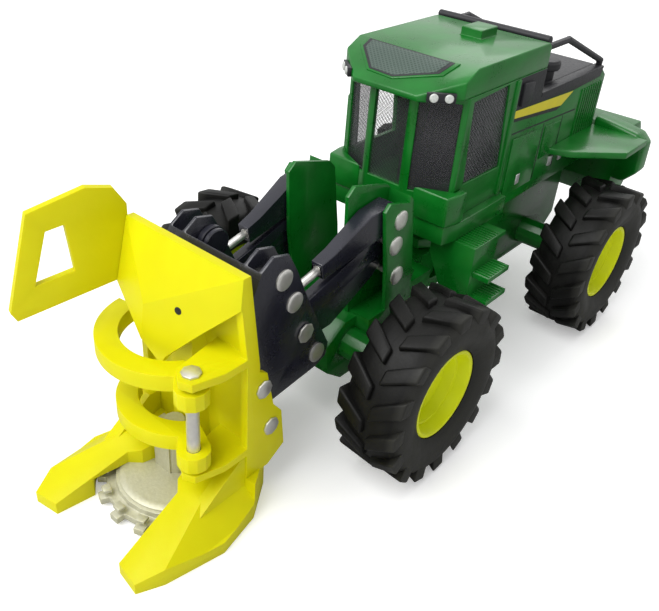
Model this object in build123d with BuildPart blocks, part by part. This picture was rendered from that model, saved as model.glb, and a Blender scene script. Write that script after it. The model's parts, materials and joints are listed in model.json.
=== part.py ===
"""Toy four-wheeled feller buncher, 1:50, millimetres.

+X is forward, +Y the machine's left, +Z up, floor at z = 0.
"""
import os
from math import atan2, cos, degrees, hypot, radians, sin, sqrt

from build123d import *

os.makedirs("parts", exist_ok=True)

# Main sizes
axle_front_x = 18.1
axle_rear_x = -44.3
wheel_r = 16.4
wheel_y = 24.0
pivot_x = -14.0

# Linkage pins, as (x, z)
barrel_pin = (11.25, 39.25)
arm_pin = (11.8, 34.63)
stop_pin = (10.38, 28.26)
knuckle_pin = (38.08, 38.57)
rod_pin = (35.51, 33.56)
head_pin = (32.57, 26.46)
lower_pin = (29.34, 20.9)

# Saw and gathering arms
saw_x = 51.4
hinge_x, hinge_y = 55.2, 9.0
pin_r = 1.0
pin_head_r = 1.75
pin_play = 0.05
pin_sides = 8
head_sides = 8


# Tyres: a body of flat bands with two rows of slanted lugs that lean towards the shoulders
tyre_sides = 16
rim_sides = 20
lug_count = 16
lug_reach = 3.0
lug_top = sqrt(wheel_r**2 - lug_reach**2) + 0.05
lug_base = 12.9
lug_lean = 4.0
tyre_half = 5.9
tread_half = 4.8
carcass_r = 15.2
shoulder_r = 12.6
bead_half = 4.9
bead_r = 8.7
rim_seat_r = 8.15
lug_outline = [(0.2, -lug_reach), (0.2, -0.4), (5.7, lug_reach), (5.7, 0.0)]

wheels = [  # name, axle x, side
    ("front_left", axle_front_x, 1),
    ("front_right", axle_front_x, -1),
    ("rear_left", axle_rear_x, 1),
    ("rear_right", axle_rear_x, -1),
]

with BuildPart() as tyre_blank:
    for across, radius in [(-tyre_half, shoulder_r), (-tread_half, carcass_r),
                           (tread_half, carcass_r), (tyre_half, shoulder_r)]:
        with BuildSketch(Plane.XY.offset(across)):
            RegularPolygon(radius=radius, side_count=tyre_sides)
    loft(ruled=True)
    for side in (1, -1):
        for across, radius in [(side * bead_half, bead_r), (side * (tyre_half + 0.01), shoulder_r)]:
            with BuildSketch(Plane.XY.offset(across)):
                RegularPolygon(radius=radius, side_count=tyre_sides)
        loft(ruled=True, mode=Mode.SUBTRACT)
    with BuildSketch(Plane.XY.offset(-tyre_half)):
        RegularPolygon(radius=rim_seat_r, side_count=rim_sides)
    extrude(amount=2 * tyre_half, mode=Mode.SUBTRACT)
    for row in (1, -1):
        lug_planes = []
        for i in range(lug_count):
            turn = (i + 0.25 * row) * 360 / lug_count
            out = Vector(cos(radians(turn)), sin(radians(turn)), 0)
            leaning = Vector(cos(radians(lug_lean)) * out.X, cos(radians(lug_lean)) * out.Y,
                             row * sin(radians(lug_lean)))
            along = Vector(-out.Y, out.X, 0)
            lug_planes.append(Plane(origin=out * lug_base, x_dir=leaning.cross(along), z_dir=leaning))
        with BuildSketch(*lug_planes):
            Polygon(*[(row * across, along) for across, along in lug_outline], align=None)
        extrude(amount=lug_top - lug_base)

for name, x, side in wheels:
    with BuildPart() as tyre:
        place = Plane(origin=(x, side * wheel_y, wheel_r), x_dir=(1, 0, 0), z_dir=(0, side, 0))
        add(place.location * tyre_blank.part)
    tyre.part.label = "tyre_" + name
    export_step(tyre.part, "parts/tyre_" + name + ".step")

# Rims: a conical dish behind a flat lip, with a hub bored for the axle stub
rim_r = 8.05
rim_half = 4.6
lip_r = 7.3
dish_r = 5.4
web_out = 0.6
web_in = -1.6
back_r = 7.2
hub_r = 2.6
hub_in = -3.4
stub_r = 1.5
stub_gap = 0.06
stub_cap = 1.0

for name, x, side in wheels:
    with BuildPart() as rim:
        place = Plane(origin=(x, side * wheel_y, wheel_r), x_dir=(1, 0, 0), z_dir=(0, side, 0))
        with BuildSketch(place.offset(-rim_half)):
            RegularPolygon(radius=rim_r, side_count=rim_sides)
        extrude(amount=2 * rim_half)
        with BuildSketch(place.offset(web_out)):
            RegularPolygon(radius=dish_r, side_count=rim_sides)
        with BuildSketch(place.offset(rim_half)):
            RegularPolygon(radius=lip_r, side_count=rim_sides)
        loft(ruled=True, mode=Mode.SUBTRACT)
        with BuildSketch(place.offset(-rim_half)):
            RegularPolygon(radius=back_r, side_count=rim_sides)
        extrude(amount=web_in + rim_half, mode=Mode.SUBTRACT)
        with BuildSketch(place.offset(hub_in)):
            RegularPolygon(radius=hub_r, side_count=12)
        extrude(amount=web_in - hub_in)
        with BuildSketch(place.offset(hub_in)):
            Circle(stub_r + stub_gap)
        extrude(amount=web_out - hub_in - stub_cap, mode=Mode.SUBTRACT)
    rim.part.label = "rim_" + name
    export_step(rim.part, "parts/rim_" + name + ".step")

# Axles: housing, centre case, shoulders and the stubs that carry the wheels
housing_r = 3.0
housing_half = 15.6
case_r = 4.6
case_half = 5.0
frame_gap = 0.03
axle_sides = 12
stub_sides = 8
axle_steps = [  # radius, half length, sides
    (housing_r, housing_half, axle_sides),
    (case_r, case_half, axle_sides),
    (2.2, wheel_y + hub_in - 0.3, stub_sides),
    (stub_r, wheel_y + web_out - stub_cap - 0.2, stub_sides),
]
for name, x in [("front_axle", axle_front_x), ("rear_axle", axle_rear_x)]:
    with BuildPart() as axle:
        for radius, half, sides in axle_steps:
            with BuildSketch(Plane.XZ.offset(-half)):
                with Locations((x, wheel_r)):
                    RegularPolygon(radius=radius, side_count=sides)
            extrude(amount=2 * half)
    axle.part.label = name
    export_step(axle.part, "parts/" + name + ".step")

# Front frame: box, rear tongue and a tower with two plates on each side
tower_plates = [  # near face, far face, outline in (x, z)
    (6.0, 6.7, [(5.0, 20.0), (6.0, 30.0), (8.2, 42.2), (9.6, 43.6), (18.6, 46.0), (20.2, 44.6),
                (19.4, 33.0), (17.0, 20.0)]),
    (10.4, 11.1, [(4.6, 26.8), (7.4, 31.0), (8.4, 40.6), (9.4, 41.8), (14.6, 43.2), (15.8, 42.0),
                  (13.6, 30.0), (12.4, 21.4), (7.0, 21.4)]),
]
with BuildPart() as front_frame:
    with BuildSketch(Plane.XZ.offset(-8.4)):
        Polygon((-6, 12), (2, 9.4), (20, 9.4), (24, 12.5), (24.6, 18.4), (20, 21.5), (-6, 21.5), align=None)
    extrude(amount=16.8)
    with BuildSketch(Plane.XY.offset(14.6)):
        with Locations(((pivot_x - 6) / 2, 0)):
            Rectangle(-6 - pivot_x, 7.6)
        with Locations((pivot_x, 0)):
            RegularPolygon(radius=3.8, side_count=axle_sides)
    extrude(amount=6.4)
    with BuildSketch(Plane.XY.offset(14.0)):
        with Locations((pivot_x, 0)):
            Circle(1.86)
    extrude(amount=8, mode=Mode.SUBTRACT)
    with BuildSketch(Plane.XY.offset(16.0)):
        with Locations((11.0, 0)):
            Rectangle(12.0, 22.2)
    extrude(amount=6.0)
    for near, far, outline in tower_plates:
        for y in (far, -near):
            with BuildSketch(Plane.XZ.offset(-y)):
                Polygon(*outline, align=None)
            extrude(amount=far - near)
    for y in (11.1, -6.0):
        with BuildSketch(Plane.XZ.offset(-y)):
            Polygon((4.8, 21), (5.9, 30), (8.1, 42), (9.2, 43), (9.2, 41.8), (7.4, 30), (6.2, 21), align=None)
        extrude(amount=5.1)
    for radius, half in ((housing_r, housing_half), (case_r, case_half)):
        with BuildSketch(Plane.XZ.offset(-half - frame_gap)):
            with Locations((axle_front_x, wheel_r)):
                RegularPolygon(radius=radius + frame_gap, side_count=axle_sides)
        extrude(amount=2 * (half + frame_gap), mode=Mode.SUBTRACT)
front_frame.part.label = "front_frame"
export_step(front_frame.part, "parts/front_frame.step")

# Pins across the towers: a shank between the plates and a flat head outside
tower_steps = [  # near y, far y, radius, sides
    (11.1, 11.5, pin_head_r, head_sides),
    (6.7, 10.4, pin_r, pin_sides),
]
with BuildPart() as tower_pins:
    for x, z in (barrel_pin, arm_pin, stop_pin):
        for near, far, radius, sides in tower_steps:
            with BuildSketch(Plane.XZ.offset(-far)):
                with Locations((x, z)):
                    RegularPolygon(radius=radius, side_count=sides)
            extrude(amount=far - near)
    mirror(about=Plane.XZ)
tower_pins.part.label = "tower_pins"
export_step(tower_pins.part, "parts/tower_pins.step")

# Lift arms
arm_outline = [(11.0, 36.7), (14.5, 36.3), (31.7, 31.2), (34.6, 28.4), (34.8, 25.0), (31.6, 23.6),
               (24.9, 23.9), (14.6, 28.9), (9.6, 33.4), (9.7, 35.7)]
for name, y in (("lift_arm_left", 9.0), ("lift_arm_right", -7.1)):
    with BuildPart() as lift_arm:
        with BuildSketch(Plane.XZ.offset(-y)):
            Polygon(*arm_outline, align=None)
            with Locations(arm_pin, head_pin):
                Circle(pin_r + pin_play, mode=Mode.SUBTRACT)
        extrude(amount=1.9)
    lift_arm.part.label = name
    export_step(lift_arm.part, "parts/" + name + ".step")

# Tilt cylinders: a tapered casing on the tower, a gland that slides in it and a rod with an eye
cylinder_length = hypot(rod_pin[0] - barrel_pin[0], rod_pin[1] - barrel_pin[1])
cylinder_turn = atan2(rod_pin[1] - barrel_pin[1], rod_pin[0] - barrel_pin[0])
cylinder_y = 8.05
slide_gap = 0.04
casing_end = 17.6
casing_near = 6.94
casing_far = 10.2
casing_far_end = 9.15
bore_start = 1.6
gland_r = 0.92
gland_length = 6.2
rod_r = 0.68
rod_sides = 12
rod_start = 6.3
eye_r = 2.2
eye_hole_r = 1.65
eye_half = 0.8
eye_pin_r = 0.6
casing_outline = [(-1.7, -1.2), (-1.9, 0.6), (0.4, 3.4), (6.0, 4.0), (casing_end - 3, 1.9),
                  (casing_end, 1.6), (casing_end, -1.4), (2.2, -1.5), (0.6, -1.7), (-0.8, -1.6)]
for name, side in (("left", 1), ("right", -1)):
    forward = (cos(cylinder_turn), 0, sin(cylinder_turn))
    centre = Vector(barrel_pin[0], side * cylinder_y, barrel_pin[1])
    side_view = Plane(origin=centre, x_dir=forward, z_dir=(0, -1, 0))
    plan_view = Plane(origin=(barrel_pin[0], 0, barrel_pin[1]), x_dir=forward, z_dir=(-forward[2], 0, forward[0]))
    cross_view = Plane(origin=centre, x_dir=(0, 1, 0), z_dir=forward)
    with BuildPart() as casing:
        with BuildSketch(side_view):
            Polygon(*casing_outline, align=None)
            Circle(pin_r + pin_play, mode=Mode.SUBTRACT)
        extrude(amount=4, both=True)
        with BuildSketch(plan_view.offset(-6)):
            Polygon((-4, side * casing_near), (-4, side * casing_far), (4, side * casing_far),
                    (casing_end + 1, side * casing_far_end), (casing_end + 1, side * casing_near), align=None)
        extrude(amount=12, mode=Mode.INTERSECT)
        with BuildSketch(cross_view.offset(bore_start)):
            RegularPolygon(radius=gland_r + slide_gap, side_count=rod_sides)
        extrude(amount=casing_end, mode=Mode.SUBTRACT)
    casing.part.label = "tilt_casing_" + name
    export_step(casing.part, "parts/tilt_casing_" + name + ".step")
    with BuildPart() as gland:
        with BuildSketch(cross_view.offset(casing_end - gland_length)):
            RegularPolygon(radius=gland_r, side_count=rod_sides)
            RegularPolygon(radius=rod_r + slide_gap, side_count=rod_sides, mode=Mode.SUBTRACT)
        extrude(amount=gland_length - 0.1)
    gland.part.label = "tilt_gland_" + name
    export_step(gland.part, "parts/tilt_gland_" + name + ".step")
    with BuildPart() as rod:
        with BuildSketch(cross_view.offset(rod_start)):
            RegularPolygon(radius=rod_r, side_count=rod_sides)
        extrude(amount=cylinder_length - rod_start - eye_hole_r + 0.1)
        with BuildSketch(side_view.offset(-eye_half)):
            with Locations((cylinder_length, 0)):
                RegularPolygon(radius=eye_r, side_count=axle_sides)
        extrude(amount=2 * eye_half)
        with BuildSketch(side_view.offset(-eye_half)):
            with Locations((cylinder_length, 0)):
                RegularPolygon(radius=eye_hole_r, side_count=axle_sides)
        extrude(amount=2 * eye_half, mode=Mode.SUBTRACT)
    rod.part.label = "tilt_rod_" + name
    export_step(rod.part, "parts/tilt_rod_" + name + ".step")

# Carriage: four plates on a back plate, behind the felling head
plate_outline = [(44.4, 38.0), (42.6, 41.6), (40.2, 43.2), (37.0, 42.4), (35.0, 38.9), (32.8, 34.0),
                 (29.3, 27.0), (26.3, 21.4), (26.8, 18.9), (29.2, 17.9), (40.2, 16.6), (44.2, 20.0)]
with BuildPart() as carriage:
    for far in (9.9, 6.9):
        with BuildSketch(Plane.XZ.offset(-far)):
            Polygon(*plate_outline, align=None)
            with Locations(head_pin):
                RegularPolygon(radius=pin_r + 2 * pin_play, side_count=head_sides, mode=Mode.SUBTRACT)
        extrude(amount=0.7)
    mirror(about=Plane.XZ)
    with BuildSketch(Plane.XZ.offset(-9.9)):
        Polygon((44.4, 38.0), (42.6, 41.6), (40.8, 38), (40.6, 22), (40.2, 16.6), (44.2, 20.0), align=None)
    extrude(amount=19.8)
carriage.part.label = "carriage"
export_step(carriage.part, "parts/carriage.step")

# Pins across the carriage plates, made as the tower's
with BuildPart() as carriage_pins:
    for (x, z), shank_r in ((knuckle_pin, pin_r), (rod_pin, eye_pin_r), (lower_pin, pin_r)):
        for near, far, radius, sides in ((9.9, 10.3, pin_head_r, head_sides), (6.9, 9.2, shank_r, pin_sides)):
            with BuildSketch(Plane.XZ.offset(-far)):
                with Locations((x, z)):
                    RegularPolygon(radius=radius, side_count=sides)
            extrude(amount=far - near)
    mirror(about=Plane.XZ)
carriage_pins.part.label = "carriage_pins"
export_step(carriage_pins.part, "parts/carriage_pins.step")

# Pins that join the lift arms to the carriage
with BuildPart() as arm_pins:
    with BuildSketch(Plane.XZ.offset(-10.3)):
        with Locations(head_pin):
            RegularPolygon(radius=pin_r, side_count=pin_sides)
    extrude(amount=4.4)
    with BuildSketch(Plane.XZ.offset(-10.3)):
        with Locations(head_pin):
            RegularPolygon(radius=pin_head_r, side_count=head_sides)
    extrude(amount=0.35)
    mirror(about=Plane.XZ)
arm_pins.part.label = "arm_pins"
export_step(arm_pins.part, "parts/arm_pins.step")

# Felling head: back wall, side flanges, ears behind it, column and ledges
with BuildPart() as head_body:
    with BuildSketch(Plane.XZ.offset(-12.3)):
        Polygon((44.6, 6.4), (46.2, 6.4), (46.6, 28), (48.6, 44.2), (47.2, 44.2), (45.2, 28), align=None)
    extrude(amount=24.6)
    for y in (12.3, -10.9):
        with BuildSketch(Plane.XZ.offset(-y)):
            Polygon((44.6, 6.4), (47.4, 6.4), (47.6, 30), (48.9, 39.8), (48.6, 44.2), (47.2, 44.2),
                    (45.0, 28), align=None)
        extrude(amount=1.4)
    for y in (12.3, -11.2):
        with BuildSketch(Plane.XZ.offset(-y)):
            Polygon((46.0, 27.5), (43.4, 25.8), (41.8, 18.8), (39.9, 16.4), (39.0, 9.0), (42.7, 6.6),
                    (46.0, 6.6), align=None)
        extrude(amount=1.1)
    # column at the back of the pocket
    with BuildSketch(Plane.XY.offset(8.0)):
        with Locations((47.2, 0)):
            Rectangle(4.4, 5.0)
    extrude(amount=31.0)
    # ledges that hold the arm hinge
    for z, deep in ((29.0, 1.4), (11.6, 1.4)):
        with BuildSketch(Plane.XY.offset(z)):
            Polygon((46.0, 12.3), (52.0, 12.3), (hinge_x + 1.6, hinge_y + 2.0), (hinge_x + 2.4, hinge_y),
                    (hinge_x + 0.8, hinge_y - 2.3), (46.0, 5.0), align=None)
            with Locations((hinge_x, hinge_y)):
                RegularPolygon(radius=1.0, side_count=axle_sides, mode=Mode.SUBTRACT)
        extrude(amount=deep)
head_body.part.label = "head_body"
export_step(head_body.part, "parts/head_body.step")

# Folded sheet over the pocket: four flat facets between shared corners
sheet_thick = 1.3
top_right, top_left = (48.6, -12.3, 44.2), (48.6, 12.3, 44.2)
fold, fold_foot = (52.72, -4.12, 34.34), (53.37, -4.44, 28.35)
wing_foot = (50.8, -12.9, 33.5)
facets = [
    (top_right, top_left, fold),
    (top_right, fold, wing_foot),
    (wing_foot, fold, fold_foot),
    (fold, top_left, (49.07, 12.3, 39.4), (50.91, 5.97, 33.1), (52.57, 0.33, 27.15), (52.94, -0.72, 25.46),
     fold_foot),
]
with BuildPart() as head_plate:
    for corners in facets:
        first, second, third = [Vector(*corner) for corner in corners[:3]]
        face = Plane(origin=first, x_dir=second - first, z_dir=(second - first).cross(third - first))
        local = [face.to_local_coords(Vector(*corner)) for corner in corners]
        with BuildSketch(face):
            Polygon(*[(corner.X, corner.Y) for corner in local], align=None)
        extrude(amount=sheet_thick, dir=(-1, 0, 0))
    add(head_body.part, mode=Mode.SUBTRACT)
head_plate.part.label = "head_plate"
export_step(head_plate.part, "parts/head_plate.step")

# Guard wing at the machine's right
wing_turn = -16.4
with BuildPart() as head_wing:
    wing = Plane(origin=(48.3, -12.3, 0),
                 x_dir=(cos(radians(wing_turn)), sin(radians(wing_turn)), 0),
                 z_dir=(sin(radians(wing_turn)), -cos(radians(wing_turn)), 0))
    with BuildSketch(wing):
        Polygon((0, 33.5), (0, 46.0), (1.8, 48.8), (5.8, 49.6), (14.4, 47.3), (18.6, 32.2), (17.8, 30.6),
                (2.6, 33.5), align=None)
        Polygon((12.1, 44.1), (9.3, 44.6), (8.6, 36.8), (14.6, 35.7), align=None, mode=Mode.SUBTRACT)
    extrude(amount=1.2)
    add(head_plate.part, mode=Mode.SUBTRACT)
head_wing.part.label = "head_wing"
export_step(head_wing.part, "parts/head_wing.step")

# Base pan with the two prongs around the saw: each slopes from a ridge down to its tip and its outer lip
prong = [(69.9, 12.5), (65.9, 14.3), (56.0, 16.3), (48.0, 14.6), (41.5, 10.4), (41.5, 0), (49.2, 0),
         (50.5, 3.4), (54.8, 4.4), (56.4, 6.2), (69.2, 8.0)]
prong_top = 6.9
tip_top = 1.8
lip_top = 2.3
ridge_y = 9.6
with BuildPart() as head_base:
    with BuildSketch(Plane.XY):
        Polygon(*prong, align=None)
    extrude(amount=prong_top)
    with BuildSketch(Plane.XZ.offset(-20)):
        Polygon((53.0, prong_top), (71.0, prong_top), (71.0, tip_top), align=None)
    extrude(amount=40, mode=Mode.SUBTRACT)
    with BuildSketch(Plane.YZ.offset(47.5)):
        Polygon((ridge_y, prong_top), (17.0, prong_top), (17.0, lip_top), (15.6, lip_top), align=None)
    extrude(amount=30, mode=Mode.SUBTRACT)
    # gusset from the prong up to the side flange
    with BuildSketch(Plane.XZ.offset(-12.0)):
        Polygon((46.2, 5.0), (46.2, 11.2), (48.6, 11.2), (58.5, 4.0), align=None)
    extrude(amount=2.2)
    mirror(about=Plane.XZ)
    with BuildSketch(Plane.XY.offset(-0.1)):
        with Locations((saw_x, 0)):
            RegularPolygon(radius=13.4, side_count=24)
    extrude(amount=3.7, mode=Mode.SUBTRACT)
    add(head_body.part, mode=Mode.SUBTRACT)
head_base.part.label = "head_base"
export_step(head_base.part, "parts/head_base.step")

# Saw: toothed ring, round top plate and hub
tooth_count = 16
with BuildPart() as saw_disc:
    with BuildSketch(Plane.XY.offset(0.7)):
        with Locations((saw_x, 0)):
            RegularPolygon(radius=11.6, side_count=tooth_count)
            with PolarLocations(11.9, tooth_count):
                Rectangle(2.0, 1.9)
    extrude(amount=1.3)
    with BuildSketch(Plane.XY.offset(2.0)):
        with Locations((saw_x, 0)):
            RegularPolygon(radius=9.9, side_count=24)
    extrude(amount=1.0)
    with BuildSketch(Plane.XY.offset(0.6)):
        with Locations((saw_x, 0)):
            Circle(1.06)
    extrude(amount=3, mode=Mode.SUBTRACT)
saw_disc.part.label = "saw_disc"
export_step(saw_disc.part, "parts/saw_disc.step")

with BuildPart() as saw_post:
    with BuildSketch(Plane.XY.offset(3.2)):
        with Locations((saw_x, 0)):
            RegularPolygon(radius=1.7, side_count=axle_sides)
    extrude(amount=10.8)
    with BuildSketch(Plane.XY.offset(3.2)):
        Polygon((50.9, -3.1), (53.3, -3.1), (53.3, 0.6), (50.9, 0.6), align=None)
    extrude(amount=9.8)
    with BuildSketch(Plane.XY.offset(0.6)):
        with Locations((saw_x, 0)):
            RegularPolygon(radius=1.0, side_count=axle_sides)
    extrude(amount=2.7)
saw_post.part.label = "saw_post"
export_step(saw_post.part, "parts/saw_post.step")

# Gathering arms on one upright hinge pin
arms = [  # name, ring centre x, y, outer r, inner r, low z, thickness, last angle
    ("upper_arm", 47.5, -3.5, 12.2, 8.6, 25.4, 2.8, -84),
    ("lower_arm", 47.3, -2.0, 10.9, 7.4, 13.6, 2.8, -62),
]
for name, cx, cy, outer, inner, z, thick, last in arms:
    with BuildPart() as arm:
        toward = degrees(atan2(hinge_y - cy, hinge_x - cx))
        middle = (outer + inner) / 2
        with BuildSketch(Plane.XY.offset(z)):
            with BuildLine():
                start = (cx + outer * cos(radians(last)), cy + outer * sin(radians(last)))
                CenterArc((cx, cy), outer, last, toward - last)
                Line((cx + outer * cos(radians(toward)), cy + outer * sin(radians(toward))),
                     (cx + inner * cos(radians(toward)), cy + inner * sin(radians(toward))))
                CenterArc((cx, cy), inner, toward, last - toward)
                Line((cx + inner * cos(radians(last)), cy + inner * sin(radians(last))), start)
            make_face()
        extrude(amount=thick)
        with BuildSketch(Plane.XY.offset(z)):
            with Locations((hinge_x, hinge_y)):
                RegularPolygon(radius=2.6, side_count=axle_sides)
            with Locations((cx + middle * cos(radians(toward)), cy + middle * sin(radians(toward)))):
                RegularPolygon(radius=1.7, side_count=pin_sides)
            make_hull()
        extrude(amount=thick)
        with BuildSketch(Plane.XY.offset(z)):
            with Locations((hinge_x, hinge_y)):
                Circle(1.06)
        extrude(amount=thick, mode=Mode.SUBTRACT)
    arm.part.label = name
    export_step(arm.part, "parts/" + name + ".step")

with BuildPart() as hinge_pin:
    with BuildSketch(Plane.XY.offset(11.6)):
        with Locations((hinge_x, hinge_y)):
            RegularPolygon(radius=1.0, side_count=axle_sides)
    extrude(amount=18.8)
    for z in (11.2, 30.4):
        with BuildSketch(Plane.XY.offset(z)):
            with Locations((hinge_x, hinge_y)):
                RegularPolygon(radius=1.5, side_count=head_sides)
        extrude(amount=0.4)
hinge_pin.part.label = "hinge_pin"
export_step(hinge_pin.part, "parts/hinge_pin.step")

# Rivets that hold the head on the carriage
with BuildPart() as head_rivets:
    for x, z in ((44.2, 23.2), (42.4, 14.8)):
        for y, grow in ((12.3, -0.4), (-12.3, 0.4)):
            with BuildSketch(Plane.XZ.offset(-y)):
                with Locations((x, z)):
                    RegularPolygon(radius=1.6, side_count=head_sides)
            extrude(amount=grow)
head_rivets.part.label = "head_rivets"
export_step(head_rivets.part, "parts/head_rivets.step")

# Rear frame: box with a fork that takes the front frame's tongue
with BuildPart() as rear_frame:
    with BuildSketch(Plane.XZ.offset(-8.4)):
        Polygon((-20, 12), (-54, 12), (-59, 16), (-59, 31), (-10, 31), (-10, 26), (-20, 26), align=None)
    extrude(amount=16.8)
    for z in (12.0, 21.6):
        with BuildSketch(Plane.XY.offset(z)):
            Polygon((-20, 5), (pivot_x, 4), (-10.6, 2), (-10.6, -2), (pivot_x, -4), (-20, -5), align=None)
            with Locations((pivot_x, 0)):
                RegularPolygon(radius=1.8, side_count=axle_sides, mode=Mode.SUBTRACT)
        extrude(amount=2.0)
    for radius, half in ((housing_r, housing_half), (case_r, case_half)):
        with BuildSketch(Plane.XZ.offset(-half - frame_gap)):
            with Locations((axle_rear_x, wheel_r)):
                RegularPolygon(radius=radius + frame_gap, side_count=axle_sides)
        extrude(amount=2 * (half + frame_gap), mode=Mode.SUBTRACT)
rear_frame.part.label = "rear_frame"
export_step(rear_frame.part, "parts/rear_frame.step")

with BuildPart() as steering_pin:
    with BuildSketch(Plane.XY.offset(11.6)):
        with Locations((pivot_x, 0)):
            RegularPolygon(radius=1.8, side_count=axle_sides)
    extrude(amount=12.4)
    with BuildSketch(Plane.XY.offset(11.2)):
        with Locations((pivot_x, 0)):
            RegularPolygon(radius=2.6, side_count=axle_sides)
    extrude(amount=0.8)
steering_pin.part.label = "steering_pin"
export_step(steering_pin.part, "parts/steering_pin.step")

# Cab: deck, hollow shell with cut windows, roof with a sloped visor
cab_front = 1.7
cab_corner = -2.5
cab_rear = -29.3
cab_half = 12.4
prow_half = 4.2
cab_plan = [(cab_front, prow_half), (cab_corner, cab_half), (cab_rear, cab_half), (cab_rear, -cab_half),
            (cab_corner, -cab_half), (cab_front, -prow_half)]
cab_wall = 1.0
deck_z = 31.0
sill_z = 34.6
eave_z = 57.0
with BuildPart() as cab_deck:
    with BuildSketch(Plane.XY.offset(deck_z)):
        Polygon((0.4, 4.0), (0.4, 13.2), (-3.0, 14.0), (-20, 14.0), (-20, -14.0), (-3.0, -14.0), (0.4, -13.2),
                (0.4, -4.0), align=None)
    extrude(amount=sill_z - deck_z)
cab_deck.part.label = "cab_deck"
export_step(cab_deck.part, "parts/cab_deck.step")

with BuildPart() as cab_shell:
    with BuildSketch(Plane.XY.offset(sill_z)):
        Polygon(*cab_plan, align=None)
    extrude(amount=eave_z - sill_z)
    with BuildSketch(Plane.XY.offset(sill_z + 0.8)):
        Polygon(*cab_plan, align=None)
        offset(amount=-cab_wall, mode=Mode.REPLACE)
    extrude(amount=eave_z - sill_z, mode=Mode.SUBTRACT)
    # front window
    with BuildSketch(Plane.YZ.offset(cab_front - 2)):
        with Locations((0, 47.6)):
            Rectangle(7.0, 15.6)
    extrude(amount=4, mode=Mode.SUBTRACT)
    # slanted front windows
    for side in (1, -1):
        run = Vector(cab_corner - cab_front, side * (cab_half - prow_half), 0)
        middle = Vector((cab_front + cab_corner) / 2, side * (cab_half + prow_half) / 2, 47.6)
        pane = Plane(origin=middle, x_dir=run, z_dir=Vector(side * run.Y, -side * run.X, 0))
        with BuildSketch(pane.offset(-2)):
            Rectangle(7.2, 16.4)
        extrude(amount=4, mode=Mode.SUBTRACT)
    # door windows
    with BuildSketch(Plane.XZ.offset(-14)):
        Polygon((-4.2, 56.0), (-15.6, 56.6), (-17.6, 40.8), (-5.2, 41.0), align=None)
    extrude(amount=28, mode=Mode.SUBTRACT)
    # rear window
    with BuildSketch(Plane.YZ.offset(cab_rear - 1)):
        with Locations((0, 54.2)):
            Rectangle(15.0, 3.6)
    extrude(amount=3, mode=Mode.SUBTRACT)
cab_shell.part.label = "cab_shell"
export_step(cab_shell.part, "parts/cab_shell.step")

roof_z = 61.66
with BuildPart() as cab_roof:
    with BuildSketch(Plane.XZ.offset(-cab_half)):
        Polygon((-29.3, 57.0), (-29.3, 60.9), (-28.4, roof_z), (-3.9, roof_z), (4.6, 57.4), (4.4, 56.4),
                (2.4, 56.4), (2.4, 57.0), align=None)
    extrude(amount=2 * cab_half)
    for side in (1, -1):
        with BuildSketch(Plane.XY.offset(50)):
            Polygon((-1.2, side * 13), (5, side * 13), (5, side * 6.0), align=None)
        extrude(amount=15, mode=Mode.SUBTRACT)
    with BuildSketch(Plane.XY.offset(roof_z)):
        with Locations((-21.0, 3.4)):
            Rectangle(9.6, 7.0)
    extrude(amount=1.6)
cab_roof.part.label = "cab_roof"
export_step(cab_roof.part, "parts/cab_roof.step")

with BuildPart() as cab_windows:
    with BuildSketch(Plane.YZ.offset(cab_front - 0.7)):
        with Locations((0, 47.6)):
            Rectangle(7.0, 15.6)
    extrude(amount=0.4)
    for side in (1, -1):
        with BuildSketch(Plane.XZ.offset(-side * (cab_half - 0.3))):
            Polygon((-4.2, 56.0), (-15.6, 56.6), (-17.6, 40.8), (-5.2, 41.0), align=None)
        extrude(amount=side * 0.4)
        run = Vector(cab_corner - cab_front, side * (cab_half - prow_half), 0)
        middle = Vector((cab_front + cab_corner) / 2, side * (cab_half + prow_half) / 2, 47.6)
        pane = Plane(origin=middle, x_dir=run, z_dir=Vector(side * run.Y, -side * run.X, 0))
        with BuildSketch(pane.offset(-0.7)):
            Rectangle(7.2, 16.4)
        extrude(amount=0.4)
    with BuildSketch(Plane.YZ.offset(cab_rear + 0.3)):
        with Locations((0, 54.2)):
            Rectangle(15.0, 3.6)
    extrude(amount=0.4)
cab_windows.part.label = "cab_windows"
export_step(cab_windows.part, "parts/cab_windows.step")

with BuildPart() as seat:
    with BuildSketch(Plane.XZ.offset(-3.6)):
        Polygon((-8, 35.4), (-8, 42), (-15, 42), (-17, 52), (-19.4, 52), (-17.4, 35.4), align=None)
    extrude(amount=7.2)
seat.part.label = "seat"
export_step(seat.part, "parts/seat.step")

# Nose boxes beside the front of the cab
with BuildPart() as cab_nose:
    for side in (1, -1):
        with BuildSketch(Plane.XY.offset(sill_z)):
            Polygon((0.8, side * 5.96), (0.8, side * 13.4), (-2.4, side * 14.0), (-4.5, side * 14.0),
                    (-4.5, side * cab_half), (cab_corner, side * cab_half), align=None)
        extrude(amount=5.8)
cab_nose.part.label = "cab_nose"
export_step(cab_nose.part, "parts/cab_nose.step")

# Hood with its black top, intake and rear guard
with BuildPart() as hood:
    with BuildSketch(Plane.XZ.offset(-cab_half)):
        Polygon((-20.2, 31.0), (-20.2, sill_z), (-29.3, sill_z), (-29.3, 51.4), (-57.0, 51.4), (-59.0, 50.0),
                (-59.0, 31.0), align=None)
    extrude(amount=2 * cab_half)
hood.part.label = "hood"
export_step(hood.part, "parts/hood.step")

with BuildPart() as hood_top:
    with BuildSketch(Plane.XY.offset(51.4)):
        with Locations((-43.2, 0)):
            Rectangle(27.0, 20.4)
    extrude(amount=0.8)
hood_top.part.label = "hood_top"
export_step(hood_top.part, "parts/hood_top.step")

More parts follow.
